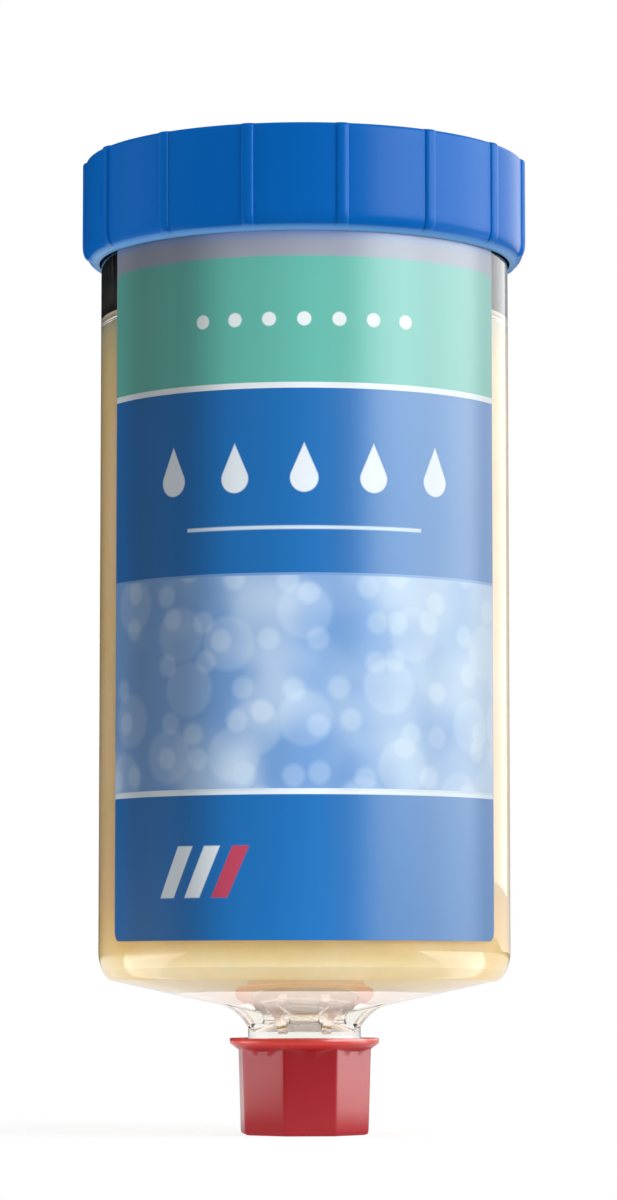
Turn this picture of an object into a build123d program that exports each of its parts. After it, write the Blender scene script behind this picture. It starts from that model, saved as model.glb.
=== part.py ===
from build123d import *
import os
from math import cos, radians, sin, tan

os.makedirs("parts", exist_ok=True)

# Single-point automatic lubricator: a clear grease cartridge with a gas-cell drive in its head.
# Lengths are in millimetres. The origin is the centre of the outlet plug's closed base, +Z runs
# up the axis to the head, and the middle of the label faces -Y.

# ------------------------------------------------------------------ driving dimensions
# Outlet plug: an octagonal screw cap, closed at its base
plug_height = 11.2
plug_wall = 0.68
plug_side_count = 8
plug_flat_turn = 5.5
plug_floor = 1.4
plug_lip_proud = 0.59
plug_lip_edge = 0.6
plug_lip_taper = 0.9
plug_edge_break = 0.4
plug_fit = 0.25

# Outlet spigot: R 1/4 taper thread, drawn as its plain envelope, and the bare neck above it
thread_radius = 6.58
thread_taper_per_mm = 1 / 32
spigot_tip_gap = 0.3
spigot_tip_break = 0.5
spigot_bore_radius = 4.4
spigot_bore_top_below_ledge = 0.9
outlet_radius = 2.0
flare_reach_radius = 10.8
flare_drop_below_ledge = 0.9
gusset_root = 0.6
neck_exposed = 3.13
neck_ledge_drop = 1.48
neck_tube_radius = 5.2
gusset_count = 8
gusset_angle = 10.0

# Container
container_bore_radius = 22.8
container_wall = 1.3
floor_slope = 12.56
floor_thickness = 1.83
sump_radius = 10.0
corner_inset = 1.2
corner_height = 3.244
inner_corner_inset = 0.7
inner_corner_height = 2.0
rim_edge_break = 0.3
snap_bead_proud = 0.35
snap_bead_height = 1.2
snap_bead_below_rim = 2.9

# Grease and piston
grease_height = 75.45
film_gap = 0.05
piston_clearance = 0.4
piston_wall = 1.5
piston_floor = 1.6
piston_rib_count = 8
piston_rib_width = 1.2
piston_rib_rise = 1.5
piston_hub_radius = 3.5
seal_fit = 0.05
lower_seal_height = 0.95
lower_seal_land = 0.3
lower_seal_bevel = 0.85
upper_seal_height = 1.2
upper_seal_depth = 0.9
upper_seal_below_skirt_top = 0.6
seal_edge_round = 0.2

# Drive head: housing, cells, board and cover, stacked from the piston upwards
housing_piston_gap = 0.5
housing_floor = 1.2
well_wall = 1.4
well_gap = 0.9
housing_skirt_depth = 4.2
housing_skirt_wall = 1.6
housing_skirt_fit = 0.1
skirt_piston_gap = 0.4
web_height = 2.0
flange_thickness = 1.6
flange_clearance = 0.15
gas_port_radius = 1.2

cell_radius = 5.8
cell_height = 5.4
cell_rim_step = 0.35
cell_cap_radius = 4.9
cell_edge_break = 0.3
cell_rim_gap = 0.95
cell_count = 3
link_thickness = 0.3
link_width = 5.0
cell_seal_inner_radius = 3.0
cell_seal_outer_radius = 5.6

holder_clearance = 0.3
holder_rim_wall = 1.1
holder_plate_thickness = 1.6
holder_plate_rise = 1.6
holder_collar_wall = 1.0
holder_collar_gap = 0.15
holder_collar_top_drop = 1.0
holder_floor_gap = 0.3

leaf_thickness = 0.2
leaf_space = 0.7
leaf_length = 7.0
leaf_width = 3.0

board_thickness = 1.0
board_clearance = 0.7
board_hole_radius = 2.6
board_headroom = 2.5
resistor_count = 12
resistor_length = 3.2
resistor_width = 1.6
resistor_height = 0.6
resistor_edge_gap = 2.3

cover_thickness = 1.5
cover_clearance = 0.15
cover_ledge = 1.45
cover_boss_radius = 4.6
cover_boss_height = 1.1
setting_step = 25.0
tick_length = 1.8
tick_width = 0.6
tick_height = 0.25
tick_gap = 1.2
ring_section = 1.0
cover_ring_width = 0.8
cover_ring_height = 0.6
head_ring_depth = 1.05
head_ring_height = 1.5
head_ring_rise = 1.85

# Time dial
dial_radius = 8.5
dial_disc = 1.0
dial_gap = 0.3
dial_bar_width = 3.4
dial_bar_height = 1.9
dial_bar_end_gap = 0.6
dial_bar_round = 0.6
dial_edge_break = 0.3
pointer_width = 1.4
pointer_depth = 0.35
shaft_radius = 2.5
shaft_fit = 0.05
shaft_board_gap = 0.3
shaft_tip_radius = 1.8
wiper_thickness = 0.3
wiper_hub_radius = 3.9
wiper_hub_rise = 0.6
wiper_reach = 10.4
wiper_width = 1.6
wiper_board_gap = 0.06

# Grip ring
ring_wall = 1.65
ring_height = 12.1
ring_bore_gap = 0.25
ring_top_thickness = 1.9
ring_cover_hold = 0.75
ring_lip_width = 2.0
ring_lip_height = 1.6
ring_lower_round_height = 2.2
ring_lower_land = 0.2
ring_top_round = 0.35
ring_bead_gap = 0.1
grip_rib_count = 15
grip_rib_turn = 9.6
grip_rib_proud = 0.35
grip_rib_radius = 0.98
grip_rib_root = 0.35

# Label
label_thickness = 0.12
label_glue = 0.02
label_half_angle = 63.8
label_bottom_margin = 1.1
label_tuck = 1.7
label_corner_radius = 1.2

# ------------------------------------------------------------------ derived places
front = -90.0
back = 90.0
slope = tan(radians(floor_slope))
container_radius = container_bore_radius + container_wall

spigot_tip_z = plug_floor + spigot_tip_gap
spigot_tip_radius = thread_radius - (plug_height - spigot_tip_z) * thread_taper_per_mm
cone_neck_z = plug_height + neck_exposed
neck_ledge_z = cone_neck_z - neck_ledge_drop
flare_start_z = neck_ledge_z - flare_drop_below_ledge
spigot_bore_top_z = neck_ledge_z - spigot_bore_top_below_ledge


def floor_outside_z(r):
    """Height of the container's conical underside at radius r."""
    return cone_neck_z + (r - thread_radius) * slope


def floor_inside_z(r):
    """Height of the floor that the grease lies on, a cone with a flat sump in its middle."""
    return floor_outside_z(max(r, sump_radius)) + floor_thickness


def piston_under_z(r):
    """Height of the piston's underside, which matches the floor so that it empties it."""
    return floor_inside_z(r) + grease_height


corner_radius_at = container_radius - corner_inset
corner_z = floor_outside_z(corner_radius_at)
wall_start_z = corner_z + corner_height
inner_corner_radius_at = container_bore_radius - inner_corner_inset
inner_corner_z = floor_inside_z(inner_corner_radius_at)
inner_wall_start_z = inner_corner_z + inner_corner_height

piston_radius = container_bore_radius - piston_clearance
piston_cup_radius = piston_radius - piston_wall
piston_edge_z = piston_under_z(piston_cup_radius)
piston_seat_z = piston_edge_z + lower_seal_height
piston_cup_floor_z = piston_edge_z + piston_floor
piston_rib_top_z = piston_cup_floor_z + piston_rib_rise
seal_radius = container_bore_radius - seal_fit

well_floor_bottom_z = piston_rib_top_z + housing_piston_gap
well_floor_z = well_floor_bottom_z + housing_floor
cell_bottom_z = well_floor_z + link_thickness
cell_top_z = cell_bottom_z + cell_height
board_z = cell_top_z + leaf_space
board_top_z = board_z + board_thickness
cover_bottom_z = board_top_z + board_headroom
cover_top_z = cover_bottom_z + cover_thickness
rim_z = cover_top_z - flange_thickness
web_bottom_z = cover_bottom_z - web_height
skirt_bottom_z = rim_z - housing_skirt_depth
piston_top_z = skirt_bottom_z - skirt_piston_gap
skirt_radius = container_bore_radius - housing_skirt_fit
skirt_inner_radius = skirt_radius - housing_skirt_wall
well_outer_radius = skirt_inner_radius - well_gap
well_radius = well_outer_radius - well_wall
cover_ledge_radius = well_radius + cover_ledge + cover_clearance
cover_radius = cover_ledge_radius - cover_clearance

ring_lip_z = cover_top_z
ring_flange_z = ring_lip_z + ring_lip_height
ring_top_z = ring_flange_z + ring_top_thickness
ring_bottom_z = ring_top_z - ring_height
ring_bore_radius = container_radius + ring_bore_gap
ring_radius = ring_bore_radius + ring_wall
ring_opening_radius = cover_radius - ring_cover_hold
flange_radius = ring_bore_radius - flange_clearance
bead_bottom_z = rim_z - snap_bead_below_rim
bead_radius = container_radius + snap_bead_proud
dial_bottom_z = cover_top_z + dial_gap
dial_disc_top_z = dial_bottom_z + dial_disc
dial_top_z = dial_disc_top_z + dial_bar_height
shaft_bottom_z = board_top_z + shaft_board_gap
wiper_bottom_z = board_top_z + wiper_hub_rise


holder_radius = well_radius - holder_clearance
pocket_radius = cell_radius + holder_collar_gap
collar_radius = pocket_radius + holder_collar_wall
cell_circle_radius = holder_radius - holder_rim_wall - cell_rim_gap - collar_radius


def cell_centre(index):
    """Centre of a cell: 0 is the gas cell at the back, 1 and 2 are the batteries."""
    angle = radians(90 + index * 360 / cell_count)
    return (cell_circle_radius * cos(angle), cell_circle_radius * sin(angle))


# ------------------------------------------------------------------ container
# One of the gussets that stand round the slim tube under the floor; its outer edge is the flare
# Its root lies inside the floor, the tube and the spigot
with BuildPart() as gusset:
    with BuildSketch(Plane.XZ.rotated((0, 0, -gusset_angle / 2))):
        with BuildLine():
            TangentArc(
                (flare_reach_radius, floor_outside_z(flare_reach_radius)),
                (thread_radius, flare_start_z),
                tangent=(-1, -slope),
            )
            Polyline(
                (thread_radius, flare_start_z),
                (neck_tube_radius - gusset_root, flare_start_z),
                (neck_tube_radius - gusset_root, floor_outside_z(neck_tube_radius) + gusset_root),
                (flare_reach_radius, floor_outside_z(flare_reach_radius) + gusset_root),
                (flare_reach_radius, floor_outside_z(flare_reach_radius)),
            )
        make_face()
    revolve(axis=Axis.Z, revolution_arc=gusset_angle)

# One clear moulding: cylinder, shallow conical floor, gusseted neck and threaded spigot
# Its profiles stand in the plane of a gusset, so that its seam runs down one
profile_plane = Plane.XZ.rotated((0, 0, front + 180 / gusset_count))
with BuildPart() as container:
    with BuildSketch(profile_plane):
        with BuildLine():
            Polyline(
                (0, spigot_tip_z),
                (spigot_tip_radius - spigot_tip_break, spigot_tip_z),
                (spigot_tip_radius, spigot_tip_z + spigot_tip_break),
                (thread_radius, plug_height),
                (thread_radius, neck_ledge_z),
                (neck_tube_radius, neck_ledge_z),
                (neck_tube_radius, floor_outside_z(neck_tube_radius)),
                (corner_radius_at, corner_z),
            )
            TangentArc(
                (container_radius, wall_start_z),
                (corner_radius_at, corner_z),
                tangent=(0, -1),
            )
            Polyline(
                (container_radius, wall_start_z),
                (container_radius, bead_bottom_z),
                (bead_radius, bead_bottom_z + snap_bead_proud),
                (bead_radius, bead_bottom_z + snap_bead_height),
                (container_radius, bead_bottom_z + snap_bead_height + snap_bead_proud),
                (container_radius, rim_z),
                (0, rim_z),
                (0, spigot_tip_z),
            )
        make_face()
    revolve(axis=Axis.Z)
    # the gussets flare the neck into the conical floor
    with PolarLocations(0, gusset_count, start_angle=front + 180 / gusset_count):
        add(gusset.part)
    # grease space
    with BuildSketch(profile_plane):
        with BuildLine():
            Polyline(
                (0, rim_z),
                (0, floor_inside_z(0)),
                (sump_radius, floor_inside_z(sump_radius)),
                (inner_corner_radius_at, inner_corner_z),
            )
            TangentArc(
                (container_bore_radius, inner_wall_start_z),
                (inner_corner_radius_at, inner_corner_z),
                tangent=(0, -1),
            )
            Polyline(
                (container_bore_radius, inner_wall_start_z),
                (container_bore_radius, rim_z - rim_edge_break),
                (container_bore_radius + rim_edge_break, rim_z),
                (0, rim_z),
            )
        make_face()
    revolve(axis=Axis.Z, mode=Mode.SUBTRACT)
    # outlet passage, narrow through the floor and wide in the spigot
    with BuildSketch(profile_plane):
        with BuildLine():
            Polyline(
                (0, spigot_tip_z),
                (spigot_bore_radius, spigot_tip_z),
                (spigot_bore_radius, spigot_bore_top_z),
                (outlet_radius, spigot_bore_top_z + (spigot_bore_radius - outlet_radius) / 2),
                (outlet_radius, floor_inside_z(0)),
                (0, floor_inside_z(0)),
                close=True,
            )
        make_face()
    revolve(axis=Axis.Z, mode=Mode.SUBTRACT)
container.part.label = "container"

# ------------------------------------------------------------------ grease
# The charge fills the cylinder from the floor to the piston's conical underside
grease_radius = container_bore_radius - film_gap
with BuildPart() as grease_charge:
    with BuildSketch(Plane.XZ):
        with BuildLine():
            Polyline(
                (0, floor_inside_z(0) + film_gap),
                (sump_radius, floor_inside_z(sump_radius) + film_gap),
                (inner_corner_radius_at - film_gap, inner_corner_z + film_gap),
            )
            TangentArc(
                (grease_radius, inner_wall_start_z + film_gap),
                (inner_corner_radius_at - film_gap, inner_corner_z + film_gap),
                tangent=(0, -1),
            )
            Polyline(
                (grease_radius, inner_wall_start_z + film_gap),
                (grease_radius, piston_edge_z - film_gap),
                (piston_cup_radius, piston_edge_z - film_gap),
                (sump_radius, piston_under_z(sump_radius) - film_gap),
                (0, piston_under_z(0) - film_gap),
                (0, floor_inside_z(0) + film_gap),
            )
        make_face()
    revolve(axis=Axis.Z)
grease_charge.part.label = "grease_charge"

# ------------------------------------------------------------------ piston and its seals
# A ribbed cup whose conical underside matches the container's floor
upper_seal_top_z = piston_top_z - upper_seal_below_skirt_top
upper_seal_bottom_z = upper_seal_top_z - upper_seal_height
upper_groove_radius = piston_radius - upper_seal_depth
# One stiffening rib of the piston, from its hub out to the skirt, level across its top
with BuildPart() as piston_rib:
    with BuildSketch(Plane.XZ):
        with BuildLine():
            Polyline(
                (0, piston_under_z(0) + piston_floor / 2),
                (sump_radius, piston_under_z(sump_radius) + piston_floor / 2),
                (piston_cup_radius + piston_wall / 2, piston_cup_floor_z),
                (piston_cup_radius + piston_wall / 2, piston_rib_top_z),
                (0, piston_rib_top_z),
                close=True,
            )
        make_face()
    extrude(amount=piston_rib_width / 2, both=True)

with BuildPart() as piston:
    with BuildSketch(Plane.XZ):
        with BuildLine():
            Polyline(
                (0, piston_under_z(0)),
                (sump_radius, piston_under_z(sump_radius)),
                (piston_cup_radius, piston_edge_z),
                (piston_cup_radius, piston_seat_z),
                (piston_radius, piston_seat_z),
                (piston_radius, upper_seal_bottom_z),
                (upper_groove_radius, upper_seal_bottom_z),
                (upper_groove_radius, upper_seal_top_z),
                (piston_radius, upper_seal_top_z),
                (piston_radius, piston_top_z),
                (piston_cup_radius, piston_top_z),
                (piston_cup_radius, piston_cup_floor_z),
                (sump_radius, piston_under_z(sump_radius) + piston_floor),
                (0, piston_under_z(0) + piston_floor),
                close=True,
            )
        make_face()
    revolve(axis=Axis.Z)
    with PolarLocations(0, piston_rib_count):
        add(piston_rib.part)
    with BuildSketch(Plane.XY.offset(piston_under_z(0) + piston_floor / 2)):
        Circle(piston_hub_radius)
    extrude(amount=piston_rib_top_z - piston_under_z(0) - piston_floor / 2)
piston.part.label = "piston"

# Lower wiper ring, moulded on to the piston's edge
lower_lip_z = piston_seat_z - lower_seal_land
with BuildPart() as piston_seal_lower:
    with BuildSketch(Plane.XZ):
        with BuildLine():
            Polyline(
                (piston_cup_radius, piston_seat_z),
                (piston_cup_radius, piston_edge_z),
                (seal_radius - lower_seal_bevel, piston_edge_z),
                (seal_radius, lower_lip_z),
                (seal_radius, piston_seat_z),
                close=True,
            )
        make_face()
    revolve(axis=Axis.Z)
piston_seal_lower.part.label = "piston_seal_lower"

# Upper ring, stretched into a groove near the top of the skirt
upper_seal_centre = ((upper_groove_radius + seal_radius) / 2, (upper_seal_bottom_z + upper_seal_top_z) / 2)
with BuildPart() as piston_seal_upper:
    with BuildSketch(Plane.XZ):
        with Locations(upper_seal_centre):
            Rectangle(seal_radius - upper_groove_radius, upper_seal_height)
        chamfer(vertices(), length=seal_edge_round)
    revolve(axis=Axis.Z)
piston_seal_upper.part.label = "piston_seal_upper"

# ------------------------------------------------------------------ drive head
# The housing closes the container: a flange on its rim, a skirt in its bore and a well for the cells
head_ring_bottom_z = skirt_bottom_z + head_ring_rise
head_ring_top_z = head_ring_bottom_z + head_ring_height
head_ring_inner_radius = seal_radius - head_ring_depth
cover_ring_outer_radius = cover_radius - (cover_ledge - cover_ring_width) / 2
cover_ring_inner_radius = cover_ring_outer_radius - cover_ring_width
with BuildPart() as head_housing:
    with BuildSketch(Plane.XZ):
        with BuildLine():
            Polyline(
                (0, well_floor_bottom_z),
                (well_outer_radius, well_floor_bottom_z),
                (well_outer_radius, web_bottom_z),
                (skirt_inner_radius, web_bottom_z),
                (skirt_inner_radius, skirt_bottom_z),
                (skirt_radius, skirt_bottom_z),
                (skirt_radius, head_ring_bottom_z),
                (head_ring_inner_radius, head_ring_bottom_z),
                (head_ring_inner_radius, head_ring_top_z),
                (skirt_radius, head_ring_top_z),
                (skirt_radius, rim_z),
                (flange_radius, rim_z),
                (flange_radius, cover_top_z),
                (cover_ledge_radius, cover_top_z),
                (cover_ledge_radius, cover_bottom_z),
                (cover_ring_outer_radius, cover_bottom_z),
                (cover_ring_outer_radius, cover_bottom_z - cover_ring_height),
                (cover_ring_inner_radius, cover_bottom_z - cover_ring_height),
                (cover_ring_inner_radius, cover_bottom_z),
                (well_radius, cover_bottom_z),
                (well_radius, well_floor_z),
                (0, well_floor_z),
                close=True,
            )
        make_face()
    revolve(axis=Axis.Z)
    # gas from the cell leaves through a port in the well's floor
    with BuildSketch(Plane.XY.offset(well_floor_bottom_z)):
        with Locations(cell_centre(0)):
            Circle(gas_port_radius)
    extrude(amount=housing_floor, mode=Mode.SUBTRACT)
head_housing.part.label = "head_housing"

# Sealing ring between the housing's skirt and the container's bore
with BuildPart() as head_o_ring:
    with BuildSketch(Plane.XZ):
        with Locations((seal_radius - head_ring_depth / 2, head_ring_bottom_z + head_ring_height / 2)):
            Rectangle(head_ring_depth, head_ring_height)
        chamfer(vertices(), length=seal_edge_round)
    revolve(axis=Axis.Z)
head_o_ring.part.label = "head_o_ring"

# Sealing ring pressed flat between the cover and the housing's ledge
with BuildPart() as cover_o_ring:
    with BuildSketch(Plane.XY.offset(cover_bottom_z - cover_ring_height)):
        Circle(cover_ring_outer_radius)
        Circle(cover_ring_inner_radius, mode=Mode.SUBTRACT)
    extrude(amount=cover_ring_height)
cover_o_ring.part.label = "cover_o_ring"

# Cover plate with the dial's bearing and a raised tick at each setting
shaft_bearing_radius = shaft_radius + shaft_fit
shaft_ring_radius = shaft_bearing_radius + ring_section
tick_radius = dial_radius + tick_gap + tick_length / 2
setting_count = resistor_count + 1
setting_range = resistor_count * setting_step
scale_end = back - setting_range / 2
scale_start = back + setting_range / 2
with BuildPart() as cover_plate:
    with BuildSketch(Plane.XY.offset(cover_bottom_z)):
        Circle(cover_radius)
    extrude(amount=cover_thickness)
    with BuildSketch(Plane.XY.offset(cover_bottom_z)):
        Circle(cover_boss_radius)
    extrude(amount=-cover_boss_height)
    with Locations(Plane.XY.offset(cover_top_z)):
        CounterBoreHole(
            radius=shaft_bearing_radius,
            counter_bore_radius=shaft_ring_radius,
            counter_bore_depth=ring_section,
        )
    with BuildSketch(Plane.XY.offset(cover_top_z)):
        with PolarLocations(tick_radius, setting_count, scale_end, setting_range, endpoint=True):
            Rectangle(tick_length, tick_width)
    extrude(amount=tick_height)
cover_plate.part.label = "cover_plate"

# Small sealing ring round the dial's shaft, in the cover's counterbore
with BuildPart() as dial_o_ring:
    with BuildSketch(Plane.XY.offset(cover_top_z - ring_section)):
        Circle(shaft_ring_radius)
        Circle(shaft_bearing_radius, mode=Mode.SUBTRACT)
    extrude(amount=ring_section)
dial_o_ring.part.label = "dial_o_ring"

# ------------------------------------------------------------------ time dial
# A disc with a finger bar on a shaft; its pointer groove rests at the first setting and turns clockwise
pointer_angle = scale_start
with BuildPart() as time_dial:
    with BuildSketch(Plane.XY.offset(dial_bottom_z)):
        Circle(dial_radius)
    extrude(amount=dial_disc)
    chamfer(time_dial.faces().sort_by(Axis.Z)[-1].edges(), length=dial_edge_break)
    with BuildSketch(Plane.XY.offset(dial_disc_top_z).rotated((0, 0, pointer_angle))):
        SlotOverall(2 * (dial_radius - dial_bar_end_gap), dial_bar_width)
    extrude(amount=dial_bar_height)
    fillet(time_dial.faces().sort_by(Axis.Z)[-1].edges(), radius=dial_bar_round)
    with BuildSketch(Plane.XY.offset(dial_top_z).rotated((0, 0, pointer_angle))):
        with Locations((dial_radius / 2, 0)):
            Rectangle(dial_radius, pointer_width)
    extrude(amount=-pointer_depth, mode=Mode.SUBTRACT)
    with BuildSketch(Plane.XY.offset(dial_bottom_z)):
        Circle(shaft_radius)
    extrude(amount=wiper_bottom_z + wiper_thickness - dial_bottom_z)
    with BuildSketch(Plane.XY.offset(dial_bottom_z)):
        Circle(shaft_tip_radius)
    extrude(amount=shaft_bottom_z - dial_bottom_z)
time_dial.part.label = "time_dial"

# Sprung contact on the end of the shaft, with two fingers that sweep the board's contacts
finger_bend_radius = wiper_reach - wiper_width
with BuildPart() as dial_wiper:
    with BuildSketch(Plane.XY.offset(wiper_bottom_z)):
        Circle(wiper_hub_radius)
    extrude(amount=wiper_thickness)
    with BuildSketch(Plane.XZ.rotated((0, 0, pointer_angle))):
        with BuildLine():
            Polyline(
                (wiper_hub_radius - wiper_thickness, wiper_bottom_z + wiper_thickness),
                (wiper_hub_radius - wiper_thickness, wiper_bottom_z),
                (wiper_hub_radius, wiper_bottom_z),
                (finger_bend_radius, board_top_z + wiper_board_gap),
                (wiper_reach, board_top_z + wiper_board_gap + wiper_thickness),
                (wiper_reach, board_top_z + wiper_board_gap + 2 * wiper_thickness),
                (finger_bend_radius, board_top_z + wiper_board_gap + wiper_thickness),
                (wiper_hub_radius, wiper_bottom_z + wiper_thickness),
                close=True,
            )
        make_face()
    finger = extrude(amount=wiper_width / 2, both=True)
    mirror(finger, about=Plane.YZ.rotated((0, 0, pointer_angle)))
    with BuildSketch(Plane.XY.offset(wiper_bottom_z)):
        Circle(shaft_tip_radius)
    extrude(amount=wiper_thickness, mode=Mode.SUBTRACT)
dial_wiper.part.label = "dial_wiper"

# ------------------------------------------------------------------ circuit board and cells
board_radius = well_radius - board_clearance
with BuildPart() as circuit_board:
    with BuildSketch(Plane.XY.offset(board_z)):
        Circle(board_radius)
        Circle(board_hole_radius, mode=Mode.SUBTRACT)
    extrude(amount=board_thickness)
circuit_board.part.label = "circuit_board"

# One chip resistor for each running time, in line with its setting on the cover
resistor_circle_radius = board_radius - resistor_edge_gap - resistor_length / 2
with BuildPart() as setting_resistors:
    with BuildSketch(Plane.XY.offset(board_top_z)):
        with PolarLocations(
            resistor_circle_radius,
            resistor_count,
            scale_end,
            setting_range - setting_step,
            endpoint=True,
        ):
            Rectangle(resistor_length, resistor_width)
    extrude(amount=resistor_height)
setting_resistors.part.label = "setting_resistors"

# Moulded holder: a rim that carries the board and a plate with a collar round each cell
holder_plate_z = well_floor_z + holder_plate_rise
cell_centres = [cell_centre(index) for index in range(cell_count)]
with BuildPart() as cell_holder:
    with BuildSketch(Plane.XY.offset(well_floor_z)):
        Circle(holder_radius)
        Circle(holder_radius - holder_rim_wall, mode=Mode.SUBTRACT)
    extrude(amount=board_z - well_floor_z)
    with BuildSketch(Plane.XY.offset(holder_plate_z)):
        Circle(holder_radius - holder_rim_wall / 2)
    extrude(amount=holder_plate_thickness)
    with BuildSketch(Plane.XY.offset(cell_bottom_z + holder_floor_gap)):
        with Locations(*cell_centres):
            Circle(collar_radius)
    extrude(amount=cell_height - holder_floor_gap - holder_collar_top_drop)
    with BuildSketch(Plane.XY.offset(well_floor_z)):
        with Locations(*cell_centres):
            Circle(pocket_radius)
    extrude(amount=board_z - well_floor_z, mode=Mode.SUBTRACT)
cell_holder.part.label = "cell_holder"

# The gas cell and the two batteries share one standard button size
for index, cell_name in enumerate(("gas_cell", "battery_1", "battery_2")):
    cell_plane = Plane(origin=(*cell_centre(index), cell_bottom_z))
    with BuildPart() as cell:
        with BuildSketch(cell_plane):
            Circle(cell_radius)
        extrude(amount=cell_height - cell_rim_step)
        chamfer(cell.faces().sort_by(Axis.Z)[0].edges(), length=cell_edge_break)
        fillet(cell.faces().sort_by(Axis.Z)[-1].edges(), radius=cell_edge_break)
        with BuildSketch(cell_plane.offset(cell_height - cell_rim_step)):
            Circle(cell_cap_radius)
        extrude(amount=cell_rim_step)
    cell.part.label = cell_name
    export_step(cell.part, f"parts/{cell_name}.step")

# Rubber washer that seals the gas cell round its port
with BuildPart() as gas_cell_seal:
    with BuildSketch(Plane.XY.offset(well_floor_z)):
        with Locations(cell_centre(0)):
            Circle(cell_seal_outer_radius)
            Circle(cell_seal_inner_radius, mode=Mode.SUBTRACT)
    extrude(amount=link_thickness)
gas_cell_seal.part.label = "gas_cell_seal"

# Nickel strip that joins the two batteries underneath
battery_spacing = 2 * cell_circle_radius * sin(radians(180 / cell_count))
link_y = cell_centre(1)[1]
with BuildPart() as battery_link:
    with BuildSketch(Plane.XY.offset(well_floor_z)):
        with Locations((0, link_y)):
            SlotCenterToCenter(battery_spacing, link_width)
    extrude(amount=link_thickness)
battery_link.part.label = "battery_link"

# Sprung contacts bowed between each cell's cap and the board
for index, leaf_name in enumerate(("gas_cell_contact", "battery_contact_1", "battery_contact_2")):
    leaf_plane = Plane(
        origin=(*cell_centre(index), cell_top_z),
        x_dir=(*cell_centre(index), 0),
        z_dir=(-cell_centre(index)[1], cell_centre(index)[0], 0),
    )
    with BuildPart() as leaf:
        with BuildSketch(leaf_plane):
            with BuildLine():
                ThreePointArc(
                    (-leaf_length / 2, 0),
                    (0, -leaf_space + leaf_thickness),
                    (leaf_length / 2, 0),
                )
                Line((leaf_length / 2, 0), (leaf_length / 2, -leaf_thickness))
                ThreePointArc(
                    (leaf_length / 2, -leaf_thickness),
                    (0, -leaf_space),
                    (-leaf_length / 2, -leaf_thickness),
                )
                Line((-leaf_length / 2, -leaf_thickness), (-leaf_length / 2, 0))
            make_face()
        extrude(amount=leaf_width / 2, both=True)
    leaf.part.label = leaf_name
    export_step(leaf.part, f"parts/{leaf_name}.step")

# ------------------------------------------------------------------ grip ring
# A snap-on collar that holds the cover and housing down, ribbed on the outside for grip
ring_side_bottom_z = ring_bottom_z + ring_lower_round_height
rib_root_radius = ring_bore_radius + grip_rib_root


def lower_round(outer_radius):
    """Lower end, on the flat underside, of the rounded edge below a side of this radius."""
    return (ring_bore_radius + ring_lower_land + outer_radius - ring_radius, ring_bottom_z)


with BuildPart() as grip_rib:
    with BuildSketch(Plane.XY.offset(ring_bottom_z)):
        with Locations((ring_radius + grip_rib_proud - grip_rib_radius, 0)):
            Circle(grip_rib_radius)
    extrude(amount=ring_height)
    with BuildSketch(Plane.XZ):
        with BuildLine():
            TangentArc(
                (ring_radius + grip_rib_proud, ring_side_bottom_z),
                lower_round(ring_radius + grip_rib_proud),
                tangent=(0, -1),
            )
            Polyline(
                lower_round(ring_radius + grip_rib_proud),
                (rib_root_radius, ring_bottom_z),
                (rib_root_radius, ring_top_z),
                (ring_radius, ring_top_z),
                (ring_radius + grip_rib_proud, ring_top_z - grip_rib_proud),
                (ring_radius + grip_rib_proud, ring_side_bottom_z),
            )
        make_face()
    revolve(axis=Axis.Z, mode=Mode.INTERSECT)

with BuildPart() as grip_ring:
    with BuildSketch(Plane.XZ):
        with BuildLine():
            TangentArc((ring_radius, ring_side_bottom_z), lower_round(ring_radius), tangent=(0, -1))
            Polyline(
                lower_round(ring_radius),
                (ring_bore_radius, ring_bottom_z),
                (ring_bore_radius, bead_bottom_z - ring_bead_gap),
                (bead_radius + ring_bead_gap, bead_bottom_z + snap_bead_proud - ring_bead_gap),
                (bead_radius + ring_bead_gap, bead_bottom_z + snap_bead_height + ring_bead_gap),
                (ring_bore_radius, bead_bottom_z + snap_bead_height + snap_bead_proud + ring_bead_gap),
                (ring_bore_radius, ring_flange_z),
                (ring_opening_radius + ring_lip_width, ring_flange_z),
                (ring_opening_radius + ring_lip_width, ring_lip_z),
                (ring_opening_radius, ring_lip_z),
                (ring_opening_radius, ring_top_z - ring_top_round),
                (ring_opening_radius + ring_top_round, ring_top_z),
                (ring_radius - ring_top_round, ring_top_z),
                (ring_radius, ring_top_z - ring_top_round),
                (ring_radius, ring_side_bottom_z),
            )
        make_face()
    revolve(axis=Axis.Z)
    with PolarLocations(0, grip_rib_count, start_angle=front + grip_rib_turn):
        add(grip_rib.part)
grip_ring.part.label = "grip_ring"

# ------------------------------------------------------------------ label
# Printed film wrapped round the front of the container, its top tucked under the ring
label_inner_radius = container_radius + label_glue
label_bottom_z = wall_start_z + label_bottom_margin
label_top_z = ring_bottom_z + label_tuck
with BuildPart() as label:
    with BuildSketch(Plane.XZ.rotated((0, 0, front - label_half_angle))):
        with Locations((label_inner_radius + label_thickness / 2, (label_bottom_z + label_top_z) / 2)):
            Rectangle(label_thickness, label_top_z - label_bottom_z)
    revolve(axis=Axis.Z, revolution_arc=2 * label_half_angle)
    corners = label.edges().filter_by(lambda e: abs(e.length - label_thickness) < 0.001)
    fillet(corners, radius=label_corner_radius)
label.part.label = "label"

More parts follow.
